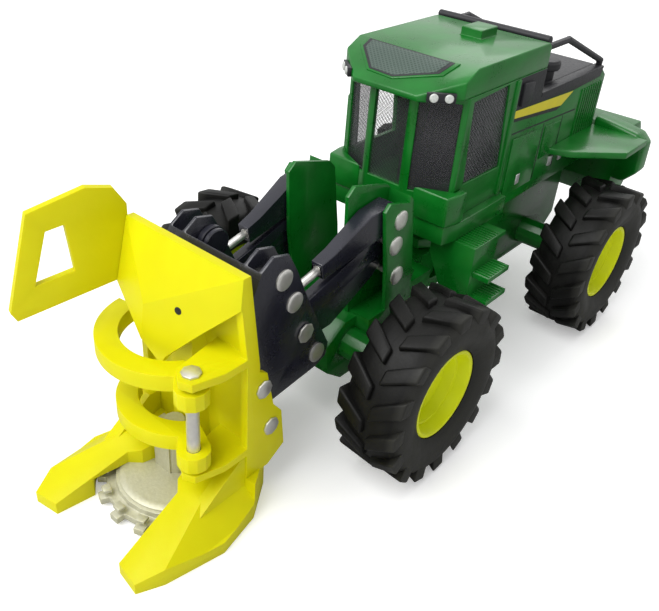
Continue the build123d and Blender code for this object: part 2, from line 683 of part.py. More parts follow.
with BuildPart() as intake:
    with BuildSketch(Plane.XY.offset(52.2)):
        with Locations((-36.0, 6.0)):
            RegularPolygon(radius=2.4, side_count=axle_sides)
        with Locations((-42.5, 3.0)):
            RegularPolygon(radius=1.6, side_count=head_sides)
    extrude(amount=3.4)
intake.part.label = "intake"
export_step(intake.part, "parts/intake.step")

# Guard bars: one across behind the roof, and one on each side, level and then down to a foot on the hood
bar_sides = 8
bar_r = 0.65
bar_y = 11.2
bar_runs = [((-29.6, 60.3), (-38.8, 60.3)), ((-38.4, 60.4), (-57.2, 53.0))]
with BuildPart() as guard_bars:
    for side in (1, -1):
        for (x, z), (end_x, end_z) in bar_runs:
            with BuildSketch(Plane(origin=(x, side * bar_y, z), z_dir=(end_x - x, 0, end_z - z))):
                RegularPolygon(radius=bar_r, side_count=bar_sides)
            extrude(amount=hypot(end_x - x, end_z - z))
        with BuildSketch(Plane.XY.offset(51.4)):
            with Locations((-56.8, side * bar_y)):
                RegularPolygon(radius=0.7, side_count=bar_sides)
        extrude(amount=1.9)
    with BuildSketch(Plane.XZ.offset(-bar_y)):
        with Locations((-29.95, 60.3)):
            RegularPolygon(radius=bar_r, side_count=bar_sides)
    extrude(amount=2 * bar_y)
guard_bars.part.label = "guard_bars"
export_step(guard_bars.part, "parts/guard_bars.step")

with BuildPart() as bumper:
    with BuildSketch(Plane.XZ.offset(-19.6)):
        Polygon((-59.0, 27.0), (-59.0, 38.0), (-61.0, 39.4), (-68.6, 39.4), (-70.0, 37.6), (-70.0, 26),
                (-66.5, 21.5), (-63.2, 21.5), (-61.6, 23.5), align=None)
    extrude(amount=39.2)
bumper.part.label = "bumper"
export_step(bumper.part, "parts/bumper.step")

with BuildPart() as fenders:
    for side in (1, -1):
        with BuildSketch(Plane.XY.offset(37.6)):
            Polygon((-59.0, side * 12.4), (-38.0, side * 12.4), (-40.0, side * 17.0), (-48.4, side * 25.0),
                    (-59.0, side * 25.0), align=None)
        extrude(amount=1.4)
fenders.part.label = "fenders"
export_step(fenders.part, "parts/fenders.step")

# Steps at the machine's left: platform, two treads and the plates that carry them
treads = [  # front x, rear x, near y, far y, top z
    (-3.2, -14.0, 13.0, 18.2, 31.0),
    (-4.0, -11.5, 17.6, 21.5, 25.9),
    (-4.7, -12.0, 17.6, 21.6, 20.6),
]
with BuildPart() as steps:
    for front, rear, near, far, top in treads:
        with BuildSketch(Plane.XY.offset(top - 1.0)):
            Polygon((front, near), (front, far), (rear, far), (rear, near), align=None)
        extrude(amount=1.0)
    with BuildSketch(Plane.XZ.offset(-18.2)):
        Polygon((-3.2, 19.6), (-3.2, 31.0), (-11.5, 31.0), (-11.5, 19.6), align=None)
    extrude(amount=0.8)
    with BuildSketch(Plane.YZ.offset(-4.0)):
        Polygon((9.0, 31.0), (9.0, 27.0), (12.0, 21.0), (18.2, 19.6), (18.2, 31.0), align=None)
    extrude(amount=0.8)
steps.part.label = "steps"
export_step(steps.part, "parts/steps.step")

# Lamp bars on the slanted corners of the visor
with BuildPart() as lamps:
    for side in (1, -1):
        corner = Plane(origin=(1.9, side * 9.5, 57.5), x_dir=(-6.2, side * 7.0, 0), z_dir=(7.0, side * 6.2, 0))
        with BuildSketch(corner):
            Rectangle(4.8, 1.6)
        extrude(amount=0.7)
lamps.part.label = "lamps"
export_step(lamps.part, "parts/lamps.step")
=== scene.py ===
"""A toy feller buncher in die-cast metal and plastic, dressed over its CAD frame."""

import json
import math

import bpy
from mathutils import Matrix, Vector

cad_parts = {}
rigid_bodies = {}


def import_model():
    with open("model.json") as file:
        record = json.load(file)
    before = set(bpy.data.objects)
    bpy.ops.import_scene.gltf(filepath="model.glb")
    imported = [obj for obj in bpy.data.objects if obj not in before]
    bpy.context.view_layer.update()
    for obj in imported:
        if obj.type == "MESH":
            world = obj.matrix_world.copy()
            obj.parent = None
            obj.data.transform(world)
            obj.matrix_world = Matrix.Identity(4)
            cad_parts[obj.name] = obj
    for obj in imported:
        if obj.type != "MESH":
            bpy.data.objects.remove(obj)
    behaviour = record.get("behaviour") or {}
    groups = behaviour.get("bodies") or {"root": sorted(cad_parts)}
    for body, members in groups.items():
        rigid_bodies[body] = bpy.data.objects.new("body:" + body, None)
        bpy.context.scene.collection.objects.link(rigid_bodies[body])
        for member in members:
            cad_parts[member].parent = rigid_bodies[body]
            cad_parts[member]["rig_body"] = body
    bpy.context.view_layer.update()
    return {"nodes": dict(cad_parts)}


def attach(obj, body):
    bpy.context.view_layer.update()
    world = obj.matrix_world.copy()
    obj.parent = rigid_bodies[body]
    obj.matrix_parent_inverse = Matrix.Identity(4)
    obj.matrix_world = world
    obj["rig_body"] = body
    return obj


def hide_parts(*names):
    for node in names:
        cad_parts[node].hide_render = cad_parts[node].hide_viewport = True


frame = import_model()


# Camera
# A close view from above the left front corner, as the toy was photographed, leaning a
# little, with the picture's centre a little off the lens axis.
eye = Vector((0.109652, 0.073787, 0.098474))
aim = Vector((0.031376, 0.009027, 0.030))
lean = -0.0674
ahead = (aim - eye).normalized()
level_right = ahead.cross(Vector((0, 0, 1))).normalized()
level_down = ahead.cross(level_right)
right = math.cos(lean) * level_right + math.sin(lean) * level_down
down = math.cos(lean) * level_down - math.sin(lean) * level_right
camera = bpy.data.objects.new("camera", bpy.data.cameras.new("camera"))
bpy.context.scene.collection.objects.link(camera)
bpy.context.scene.camera = camera
camera.matrix_world = Matrix.Translation(eye) @ Matrix((right, -down, -ahead)).transposed().to_4x4()
camera.data.sensor_fit = "HORIZONTAL"
camera.data.lens = 42.82
camera.data.shift_x = 0.03398
camera.data.shift_y = 0.00501
camera.data.clip_start = 0.005
camera.data.clip_end = 20


# Tyres
# Solid moulded rubber with two rows of broad lugs, matte black, greyer in faint patches of dust
# and on the outer wall, where the grey is a painted sheen. Each is one moulding, pressed onto its rim.
class Shade:
    """One socket of a material's nodes. Sums of it, or with numbers, add Math nodes."""

    def __init__(self, tree, socket=None):
        self.tree, self.socket = tree, socket

    def node(self, kind, settings=None, inputs=None, output=0):
        """Adds a node: its settings first, then the values or links of its sockets."""
        made = self.tree.nodes.new("ShaderNode" + kind)
        for name, value in (settings or {}).items():
            setattr(made, name, value)
        for name, value in (inputs or {}).items():
            if isinstance(value, Shade):
                self.tree.links.new(value.socket, made.inputs[name])
            else:
                made.inputs[name].default_value = value
        return Shade(self.tree, made.outputs[output])

    def worked(self, operation, first, second=0.0):
        """The result of a Math node."""
        return self.node("Math", {"operation": operation}, {0: first, 1: second})

    def __add__(self, other):
        return self.worked("ADD", self, other)

    def __sub__(self, other):
        return self.worked("SUBTRACT", self, other)

    def __mul__(self, other):
        return self.worked("MULTIPLY", self, other)

    def __rsub__(self, other):
        return self.worked("SUBTRACT", other, self)

    def __gt__(self, other):
        return self.worked("GREATER_THAN", self, other)

    def __abs__(self):
        return self.worked("ABSOLUTE", self)

    __radd__ = __add__
    __rmul__ = __mul__

    def or_(self, other):
        """The larger of two values."""
        return self.worked("MAXIMUM", self, other)

    def every(self, pitch):
        """Climbs from 0 to 1 again at each pitch, in metres."""
        return self.worked("FRACT", self * (1 / pitch))

    def noise(self, size, detail=3.0):
        """Soft patches about size metres across, from 0 to 1."""
        return self.node("TexNoise", {}, {"Vector": self, "Scale": 1 / size, "Detail": detail})

    def between(self, low, high):
        """0 below low and 1 above high."""
        return self.node("MapRange", {}, {"Value": self, "From Min": low, "From Max": high})

    def tint(self, colour_low, colour_high):
        """A colour between two, by this value."""
        colours = {6: (*colour_low, 1), 7: (*colour_high, 1)}
        return self.node("Mix", {"data_type": "RGBA"}, {0: self, **colours}, output=2)

    def part(self, name):
        """The X, Y or Z of this vector."""
        return self.node("SeparateXYZ", {}, {0: self}, name)

    def beside(self, name):
        """Another output of the node that this value comes from."""
        return Shade(self.tree, self.socket.node.outputs[name])

    def bump(self, height, strength=1.0):
        """A normal that stands out by height metres where this value is 1."""
        return self.node("Bump", {}, {"Height": self, "Distance": height, "Strength": strength})

    def into(self, shader, name):
        self.tree.links.new(self.socket, shader.inputs[name])


def new_finish(name, **fixed):
    """A material with one Principled shader, whose own sockets take the fixed values."""
    finish = bpy.data.materials.new(name)
    finish.use_nodes = True
    shader = finish.node_tree.nodes["Principled BSDF"]
    for socket, value in fixed.items():
        shader.inputs[socket.replace("_", " ")].default_value = value
    return finish, shader, Shade(finish.node_tree).node("TexCoord", output="Object")


def mm(*place):
    """A place given in millimetres."""
    return Vector(place) / 1000


def select_only(*pieces):
    bpy.ops.object.select_all(action="DESELECT")
    for piece in pieces:
        piece.select_set(True)
    bpy.context.view_layer.objects.active = pieces[0]


def turned(name, centre, axis, rings, sides=48, closed=False):
    """A round piece: circles of (height along the axis, radius), in millimetres, joined in turn.

    A closed one is a hoop, whose last circle is its first.
    """
    axis = Vector(axis).normalized()
    height, radius = rings[0]
    bpy.ops.object.select_all(action="DESELECT")
    bpy.ops.mesh.primitive_circle_add(vertices=sides, radius=radius / 1000,
                                      fill_type="NOTHING" if closed else "NGON",
                                      location=mm(*centre) + axis * height / 1000,
                                      rotation=axis.to_track_quat("Z", "Y").to_euler())
    piece = bpy.context.active_object
    piece.name = piece.data.name = name
    bpy.ops.object.transform_apply()
    bpy.ops.object.mode_set(mode="EDIT")
    bpy.ops.mesh.select_all(action="SELECT")
    for next_height, next_radius in rings[1:]:
        bpy.ops.mesh.extrude_region_move(
            TRANSFORM_OT_translate={"value": axis * (next_height - height) / 1000})
        bpy.ops.transform.resize(value=(next_radius / radius,) * 3,
                                 center_override=mm(*centre) + axis * next_height / 1000)
        height, radius = next_height, next_radius
    bpy.ops.mesh.select_all(action="SELECT")
    bpy.ops.mesh.remove_doubles(threshold=1e-6)
    bpy.ops.mesh.normals_make_consistent(inside=False)
    bpy.ops.object.mode_set(mode="OBJECT")
    return piece


def plate(name, corners, thick, rounding=0.0, steps=2):
    """A flat piece, in millimetres, from the corners of its outer face, counter-clockwise."""
    bpy.ops.object.select_all(action="DESELECT")
    bpy.ops.mesh.primitive_circle_add(vertices=len(corners), radius=0.001, fill_type="NGON")
    piece = bpy.context.active_object
    piece.name = piece.data.name = name
    for number, corner in enumerate(corners):
        bpy.ops.object.mode_set(mode="EDIT")
        bpy.ops.mesh.select_mode(type="VERT")
        bpy.ops.mesh.select_all(action="DESELECT")
        bpy.ops.object.mode_set(mode="OBJECT")
        piece.data.vertices[number].select = True
        step = mm(*corner) - piece.data.vertices[number].co
        bpy.ops.object.mode_set(mode="EDIT")
        bpy.ops.transform.translate(value=step)
    bpy.ops.mesh.select_all(action="SELECT")
    places = [mm(*corner) for corner in corners]
    outward = sum((a.cross(b) for a, b in zip(places, places[1:] + places[:1])), Vector()).normalized()
    bpy.ops.mesh.extrude_region_move(TRANSFORM_OT_translate={"value": outward * -thick / 1000})
    bpy.ops.mesh.select_all(action="SELECT")
    bpy.ops.mesh.normals_make_consistent(inside=False)
    if rounding:
        bpy.ops.mesh.bevel(offset=rounding / 1000, segments=steps, affect="EDGES")
    bpy.ops.object.mode_set(mode="OBJECT")
    return piece


def copied(piece, name, place):
    """Another piece with a mesh of its own, moved by a matrix."""
    twin = piece.copy()
    twin.data = piece.data.copy()
    twin.name = twin.data.name = name
    bpy.context.scene.collection.objects.link(twin)
    twin.matrix_world = place
    select_only(twin)
    bpy.ops.object.transform_apply()
    if place.determinant() < 0:
        bpy.ops.object.mode_set(mode="EDIT")
        bpy.ops.mesh.select_all(action="SELECT")
        bpy.ops.mesh.normals_make_consistent(inside=False)
        bpy.ops.object.mode_set(mode="OBJECT")
    return twin


def joined(pieces, name):
    select_only(*pieces)
    bpy.ops.object.join()
    pieces[0].name = pieces[0].data.name = name
    return pieces[0]


def fitted(piece, finish, slot, body, *nodes, sharp=30):
    """Smooths a finished piece, gives it its material and lets it ride on a body, or stand for nodes."""
    select_only(piece)
    bpy.ops.object.shade_smooth_by_angle(angle=math.radians(sharp))
    piece.data.materials.clear()
    piece.data.materials.append(finish)
    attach(piece, body)
    if nodes:
        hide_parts(*nodes)
    return piece


rubber, shader, place = new_finish("moulded_rubber", Specular_IOR_Level=0.18)
dust = place.noise(0.006, 5).between(0.45, 0.75)
grain = place.noise(0.0004, 2)
# Painted sheen: the outer wall is painted greyer than the tread. The noise patches are dust.
painted_sheen_wall = abs(place.part("Y")).between(0.0281, 0.0294)
dust_and_painted_sheen = dust * 0.25 + painted_sheen_wall * 0.75
dust_and_painted_sheen.tint((0.003, 0.003, 0.0027), (0.026, 0.026, 0.0225)).into(shader, "Base Color")
(0.42 + dust * 0.25 + grain * 0.1).into(shader, "Roughness")
(grain * 0.6 + place.noise(0.002)).bump(0.00003).into(shader, "Normal")

# The tyre is made lying flat. Half its section runs from bead to crown, as (height, radius).
up = (0, 0, 1)
balloon = [(4.7, 8.15), (4.95, 8.8), (5.4, 9.8), (5.75, 11.0), (5.88, 12.2), (5.72, 13.3), (5.25, 14.15),
           (4.4, 14.75), (2.4, 15.12)]
crown = (0, 15.2)
hoop = [(-height, radius) for height, radius in balloon] + [crown] + balloon[::-1]
tyre = [turned("tyre", (0, 0, 0), up, hoop + hoop[:1], sides=80, closed=True)]

# A lug's (across, along) corners start at the tyre's middle. The rows lie half a pitch apart.
lug_outline = [(0.2, 3.0), (0.2, 0.4), (2.9, -1.35), (5.7, -3.0), (5.7, 0.0), (2.9, 1.6)]
lug_count, lug_foot, lug_tall, lug_lean = 16, 12.9, 3.27, math.radians(4)
for row in (1, -1):
    reach = Vector((-row * math.sin(lug_lean), 0, math.cos(lug_lean)))
    top = Vector((lug_foot + lug_tall * math.cos(lug_lean), 0, row * lug_tall * math.sin(lug_lean)))
    corners = [top + reach * row * across + Vector((0, along, 0)) for across, along in lug_outline[::row]]
    lug = plate("lug", corners[::-1], lug_tall, rounding=0.42, steps=3)
    for number in range(lug_count):
        turn = math.radians((number + 0.25 * row) * 360 / lug_count)
        tyre.append(copied(lug, "lug_copy", Matrix.Rotation(turn, 4, "Z")))
    bpy.data.objects.remove(lug)
tyre = joined(tyre, "tyre")

wheel_r, wheel_y, front_x, rear_x = 16.4, 24.0, 18.1, -44.3
wheels = [("front_left", front_x, 1), ("front_right", front_x, -1),
          ("rear_left", rear_x, 1), ("rear_right", rear_x, -1)]


def on_hub(x, side):
    """The move of a wheel's piece from lying flat, its outer face up, to its hub."""
    return Matrix.Translation(mm(x, side * wheel_y, wheel_r)) @ Matrix.Rotation(-side * math.pi / 2, 4, "X")


for corner, x, side in wheels:
    fitted(copied(tyre, "tyre_" + corner + "_shown", on_hub(x, side)), rubber, "tyre_rubber",
           "wheel_" + corner, "tyre_" + corner, sharp=40)
bpy.data.objects.remove(tyre)


# Rims
# Deep dished rims moulded in plain yellow plastic, a little greener than the head, with a
# flat lip and a step halfway down the dish.
rim_plastic, shader, place = new_finish("rim_plastic", Specular_IOR_Level=0.2)
flow = place.noise(0.008, 2)
flow.between(0.3, 0.7).tint((0.62, 0.68, 0.001), (0.70, 0.76, 0.002)).into(shader, "Base Color")
(0.34 + flow * 0.15).into(shader, "Roughness")
place.noise(0.0006, 2).bump(0.00001).into(shader, "Normal")
dish = [(0.6, 0.05), (0.6, 5.1), (0.72, 5.35), (2.3, 5.95), (2.5, 6.1), (2.62, 6.5), (4.3, 7.18), (4.5, 7.3)]
barrel = [(4.6, 7.45), (4.6, 7.9), (4.5, 8.03), (-4.5, 8.03), (-4.6, 7.9), (-4.6, 7.2)]
back = [(-1.6, 7.2), (-1.6, 2.6), (-3.4, 2.6), (-3.4, 1.56), (-0.4, 1.56), (-0.4, 0.05)]
rim = turned("rim", (0, 0, 0), up, dish + barrel + back, sides=64)
for corner, x, side in wheels:
    fitted(copied(rim, "rim_" + corner + "_shown", on_hub(x, side)), rim_plastic, "yellow_plastic",
           "wheel_" + corner, "rim_" + corner)
bpy.data.objects.remove(rim)


# Frames, axles and steering pin
# Zinc castings under glossy green enamel, a little uneven in colour and gloss. The two frames
# are hinged on the pin, each carries its axle, and the rear one carries the cab's deck.
def dressed(node, rounding, finish, slot, steps=2, sharp=28):
    """A copy of a CAD node with edges rounded by some millimetres, which stands for the node."""
    piece = bpy.data.objects.new(node + "_shown", frame["nodes"][node].data.copy())
    bpy.context.scene.collection.objects.link(piece)
    select_only(piece)
    bpy.ops.mesh.customdata_custom_splitnormals_clear()
    bpy.ops.object.mode_set(mode="EDIT")
    bpy.ops.mesh.select_all(action="SELECT")
    bpy.ops.mesh.remove_doubles(threshold=3e-6)
    bpy.ops.mesh.dissolve_limited(angle_limit=math.radians(1.5))
    bpy.ops.object.mode_set(mode="OBJECT")
    bevel = piece.modifiers.new("rounded", "BEVEL")
    bevel.width = rounding / 1000
    bevel.segments = steps
    bevel.limit_method = "ANGLE"
    bevel.angle_limit = math.radians(sharp)
    bpy.ops.object.modifier_apply(modifier="rounded")
    return fitted(piece, finish, slot, frame["nodes"][node]["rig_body"], node, sharp=sharp)


enamel, shader, place = new_finish("green_enamel", Specular_IOR_Level=0.36, Coat_Weight=0.12,
                                   Coat_Roughness=0.08)
pool = place.noise(0.005, 4)
speck = place.noise(0.0005, 2)
pool.between(0.3, 0.7).tint((0.002, 0.115, 0.009), (0.004, 0.165, 0.015)).into(shader, "Base Color")
(0.2 + pool * 0.14 + speck * 0.05).into(shader, "Roughness")
place.noise(0.0022, 2).bump(0.000025).into(shader, "Normal")
casting_edge = 0.25
for node in ("rear_frame", "front_frame", "rear_axle", "front_axle", "steering_pin", "cab_deck"):
    dressed(node, casting_edge, enamel, "green_paint")


# Fenders and bumper
# Green castings over the rear wheels and behind the hood, fixed to the rear frame. The
# bumper's front wall stands up on each side of the hood as a thick cheek.
for node in ("fenders", "bumper"):
    dressed(node, casting_edge, enamel, "green_paint")
both_sides = ((1, "left"), (-1, "right"))
cheek_front, cheek_thick = -59.05, 4.8
cheek_outline = [(12.5, 28.6), (22.0, 28.2), (24.8, 31.2), (24.6, 37.6), (22.6, 39.4), (12.5, 40.9)]
for side, name in both_sides:
    corners = [(cheek_front, side * y, z) for y, z in cheek_outline]
    cheek = plate("bumper_cheek_" + name, corners[::side], cheek_thick, rounding=0.8, steps=3)
    fitted(cheek, enamel, "green_paint", "chassis")


# Steps
# A platform and two treads at the left, below the cab, cast together in green like the
# frames. Each has a row of grip ridges across it, cast with it.
dressed("steps", casting_edge, enamel, "green_paint")
ridge_high, ridge_wide, ridge_deep, ridge_pitch = 0.22, 0.4, 0.4, 0.85
treads = [(-3.9, 13.2, 18.0, 31.0, 10), (-4.6, 17.9, 21.3, 25.9, 8), (-5.2, 17.9, 21.4, 20.6, 8)]
for tread_number, (x, near, far, z, count) in enumerate(treads):
    top = z + ridge_high
    corners = [(x, near, top), (x, far, top), (x - ridge_wide, far, top), (x - ridge_wide, near, top)]
    ridge = plate("ridge", corners, ridge_deep, rounding=0.1)
    ridges = [ridge] + [copied(ridge, "ridge_copy", Matrix.Translation(mm(-ridge_pitch * number, 0, 0)))
                        for number in range(1, count)]
    fitted(joined(ridges, "tread_ridges_%d" % tread_number), enamel, "green_paint", "chassis")


# Cab
# A hollow cast cab with a visor roof and a box on top. It has moulded screens in its windows
# and a black seat inside, and its lamps, skylight and handrail are pressed on.
cab_edge = 0.4
for node in ("cab_shell", "cab_nose"):
    dressed(node, cab_edge, enamel, "green_paint", steps=3)
roof = dressed("cab_roof", cab_edge, enamel, "green_paint", steps=3)

# The box on the roof is brought to the size and place that it has on the toy.
box_middle = mm(-21, 3.4, 62.5)
box_reach, box_foot = 6.5, 61.6
select_only(roof)
for vertex in roof.data.vertices:
    near = (vertex.co - box_middle).length < box_reach / 1000
    vertex.select = near and vertex.co.z > box_foot / 1000
bpy.ops.object.mode_set(mode="EDIT")
bpy.ops.transform.resize(value=(0.58, 0.62, 1), center_override=box_middle)
bpy.ops.transform.translate(value=mm(-0.9, -2.3, 0))
bpy.ops.object.mode_set(mode="OBJECT")


def crossed(rise, along, pitch, gap):
    """1 on the slanting wires of a net, where gap is the open share of each pitch."""
    return ((rise + along).every(pitch) > gap).or_((rise - along).every(pitch) > gap)


# Wires run over the centre pane and the doors. The centre pane and the right door are clearest.
screen, shader, place = new_finish("window_screen", Specular_IOR_Level=0.4)
door_from, centre_to = 0.0115, 0.0036
across = abs(place.part("Y"))
centre = (centre_to - across) > 0
right_door = (0.0 - place.part("Y")) > door_from
wires = crossed(place.part("Z"), place.part("Y") + place.part("X"), 0.0008, 0.86)
wires = wires * (across > door_from).or_(centre)
wires.tint((0.055, 0.055, 0.06), (0.12, 0.125, 0.13)).into(shader, "Base Color")
(0.46 - 0.4 * centre.or_(right_door) + wires * 0.5).into(shader, "Alpha")
(0.16 + place.noise(0.003) * 0.2).into(shader, "Roughness")
wires.bump(0.00003).into(shader, "Normal")
dressed("cab_windows", 0.08, screen, "window_mesh")

# Dull black plastic. The same finish also paints shade: the shadow line under the hood's stripe, the shade
# panel behind the cab and the slot in the head's plate.
dull_black_and_painted_shade, shader, place = new_finish("dull_black_plastic_and_painted_shade", Specular_IOR_Level=0.4)
grain = place.noise(0.0005, 3)
place.noise(0.004).tint((0.008, 0.008, 0.010), (0.018, 0.018, 0.022)).into(shader, "Base Color")
(0.38 + grain * 0.25).into(shader, "Roughness")
grain.bump(0.00003).into(shader, "Normal")
dressed("seat", 0.3, dull_black_and_painted_shade, "black_plastic")
dressed("lamps", 0.12, dull_black_and_painted_shade, "black_plastic")


def mottled(name, size, detail, dark, pale, rough, spread, height, **fixed):
    """A finish whose colour, gloss and skin change together, in patches about size metres across."""
    finish, shader, place = new_finish(name, **fixed)
    patches = place.noise(size, detail)
    patches.tint(dark, pale).into(shader, "Base Color")
    (rough + patches * spread).into(shader, "Roughness")
    patches.bump(height).into(shader, "Normal")
    return finish


lens = mottled("lamp_lens", size=0.0004, detail=1, dark=(0.42, 0.44, 0.42), pale=(0.72, 0.74, 0.7),
               rough=0.12, spread=0.15, height=0.00003, Specular_IOR_Level=0.6, Coat_Weight=0.6)
lens_rings = [(0.5, 0.72), (0.86, 0.72), (0.96, 0.62), (1.02, 0.35), (1.04, 0.03)]
for side, name in both_sides:
    between_lenses = Vector((1.9, side * 9.5, 57.5))
    outward = Vector((7.0, side * 6.2, 0)).normalized()
    along = Vector((-6.2, side * 7.0, 0)).normalized()
    pair = [turned("lens", between_lenses + along * shift, outward, lens_rings, sides=24)
            for shift in (-1.25, 1.25)]
    fitted(joined(pair, "lamp_lenses_" + name), lens, "lamp_lens", "chassis")


visor_top_x, visor_top_z, visor_fall = -3.9, 61.66, 0.5012


def on_visor(x, y, lift):
    """A place that stands off the visor's slope by lift, in millimetres."""
    return x + 0.448 * lift, y, visor_top_z - visor_fall * (x - visor_top_x) + 0.894 * lift


net, shader, place = new_finish("skylight_mesh", Specular_IOR_Level=0.4)
bars = crossed(place.part("X"), place.part("Y") * 0.9, 0.0007, 0.62)
bars.tint((0.035, 0.06, 0.047), (0.075, 0.11, 0.092)).into(shader, "Base Color")
(0.35 + place.noise(0.001) * 0.25).into(shader, "Roughness")
bars.bump(0.00004).into(shader, "Normal")
skylight = [(-3.45, -9.28), (-1.65, -9.34), (2.22, -4.79), (2.45, 0.09), (-0.56, 6.81), (-3.29, 7.74)]
middle = Vector((-0.7, -1.3))
for name, size, lift, thick, rounding, finish, slot in (
        ("frame", 1.14, 0.22, 0.5, 0.15, enamel, "green_paint"),
        ("seal", 1.04, 0.3, 0.5, 0.08, dull_black_and_painted_shade, "black_plastic"),
        ("pane", 0.95, 0.36, 0.4, 0.05, net, "window_mesh")):
    corners = [on_visor(*(middle + (Vector(corner) - middle) * size), lift) for corner in skylight]
    fitted(plate("skylight_" + name, corners, thick, rounding), finish, slot, "chassis")

rail_rings = [(0, 0.4), (10.3, 0.4), (10.6, 0.25), (10.7, 0.03)]
rail = turned("cab_handrail", (-4.0, -13.3, 40.0), up, rail_rings, sides=16)
fitted(rail, enamel, "green_paint", "chassis")


# Hood
# The engine hood is a green casting. Its top, the air intake, the pre-cleaner pot and the
# bars that guard it are black plastic, pressed on.
dressed("hood", 0.3, enamel, "green_paint")
dressed("hood_top", 0.3, dull_black_and_painted_shade, "black_plastic")
dressed("intake", 0.3, dull_black_and_painted_shade, "black_plastic")
dressed("guard_bars", 0.15, dull_black_and_painted_shade, "black_plastic")
pot_rings = [(0, 1.9), (2.0, 1.9), (2.2, 2.65), (2.5, 2.85), (3.5, 2.85), (4.0, 2.5), (4.2, 1.8),
             (4.25, 0.05)]
pot = turned("pre_cleaner", (-38.2, 7.9, 52.0), up, pot_rings, sides=40)
fitted(pot, dull_black_and_painted_shade, "black_plastic", "chassis")
bar_rings = [(0, 0.05), (0, 0.6), (0.15, 0.75), (24.2, 0.75), (24.35, 0.6), (24.35, 0.05)]
bar = turned("top_bar", (-30.25, -12.9, 61.55), (0, 1, 0), bar_rings, sides=20)
fitted(bar, dull_black_and_painted_shade, "black_plastic", "chassis")


# Sides of the cab and hood
# Panels, ribs and a pillar are cast in each side wall and have its green enamel. The trim is
# black plastic, with a painted shadow line under the stripe and a painted shade panel behind
# the cab, and the tapered yellow stripe and the silver of the latches are printed on.
wall_y = 12.4


def side_plate(name, outline, side, lift, thick=0.3, rounding=0.0):
    """A plate on the left (1) or right (-1) wall, from its (x, z) corners, front first."""
    corners = [(x, side * (wall_y + lift), z) for x, z in outline]
    return plate(name, corners[::side], thick, rounding)


def oblong(front, wide, low, high):
    """The (x, z) corners of an upright rectangle, front first."""
    return [(front, low), (front - wide, low), (front - wide, high), (front, high)]


stripe_yellow = mottled("printed_yellow", size=0.002, detail=4, dark=(0.66, 0.56, 0.01),
                        pale=(0.8, 0.7, 0.02), rough=0.3, spread=0.2, height=0.00001,
                        Specular_IOR_Level=0.4)
silver = mottled("printed_silver", size=0.0009, detail=4, dark=(0.5, 0.5, 0.5), pale=(0.75, 0.75, 0.74),
                 rough=0.25, spread=0.2, height=0.00002, Metallic=0.6)
stripe = [(-19.5, 49.5), (-39.3, 47.6), (-43.8, 49.6), (-19.5, 50.9)]
edge = [(-19.5, 50.95), (-43.9, 49.7), (-56.2, 50.1), (-56.9, 52.2), (-29.5, 52.2), (-29.5, 51.4),
        (-19.5, 51.4)]
# Painted shadow: a black line under the stripe, where the stripe's shadow falls.
line = [(-19.5, 48.8), (-37.6, 47.0), (-39.3, 47.55), (-19.5, 49.45)]
box = [(-20.6, 51.6), (-24.4, 51.6), (-24.4, 55.6), (-20.6, 55.9)]
level_seam = [(-20.2, 46.2), (-47.0, 44.9), (-47.0, 45.2), (-20.2, 46.5)]
front_panel = [(-21.0, 33.4), (-32.4, 33.4), (-32.4, 44.6), (-21.0, 45.2)]
rear_panel = [(-34.2, 37.6), (-40.8, 37.6), (-40.8, 44.2), (-34.2, 44.6)]
first_rib, rib_pitch, rib_count = -48.2, 1.1, 9
latch_fronts = (-25.4, -39.2, -43.8)
for side, name in both_sides:
    fitted(side_plate("stripe_" + name, stripe, side, 0.05), stripe_yellow, "yellow_plastic", "chassis")
    # The black trim, with the painted shadow line under the stripe and a painted shade panel behind the cab,
    # under the roof's overhang.
    trim_and_painted_shade = [
        side_plate("edge", edge, side, 0.06, 2.2, 0.1),
        side_plate("line", line, side, 0.04),
        side_plate("shade", oblong(-19.6, 9.6, 51.4, 56.9), side, 0.04),
        side_plate("box", box, side, 0.6, 0.7, 0.15),
        side_plate("seam", level_seam, side, 0.03),
        side_plate("seam", oblong(-33.2, 0.3, 33.6, 45.4), side, 0.03),
        side_plate("seam", oblong(-41.4, 0.3, 33.6, 45.0), side, 0.03),
    ]
    fitted(joined(trim_and_painted_shade, "side_trim_and_painted_shade_" + name), dull_black_and_painted_shade, "black_plastic", "chassis")
    latches = [side_plate("latch", oblong(front, 1.5, 34.7, 36.8), side, 0.35, 0.5, 0.12)
               for front in latch_fronts]
    fitted(joined(latches, "latches_" + name), silver, "bright_metal", "chassis")
    greens = [side_plate("rib", oblong(first_rib - rib_pitch * number, 0.5, 34.0, 49.0), side, 0.3, 0.5, 0.12)
              for number in range(rib_count)]
    greens += [
        side_plate("pillar", oblong(-18.1, 1.2, 34.8, 56.9), side, 0.4, 0.7, 0.25),
        side_plate("panel", front_panel, side, 0.25, 0.4, 0.15),
        side_plate("panel", rear_panel, side, 0.25, 0.4, 0.15),
    ]
    fitted(joined(greens, "side_relief_" + name), enamel, "green_paint", "chassis")


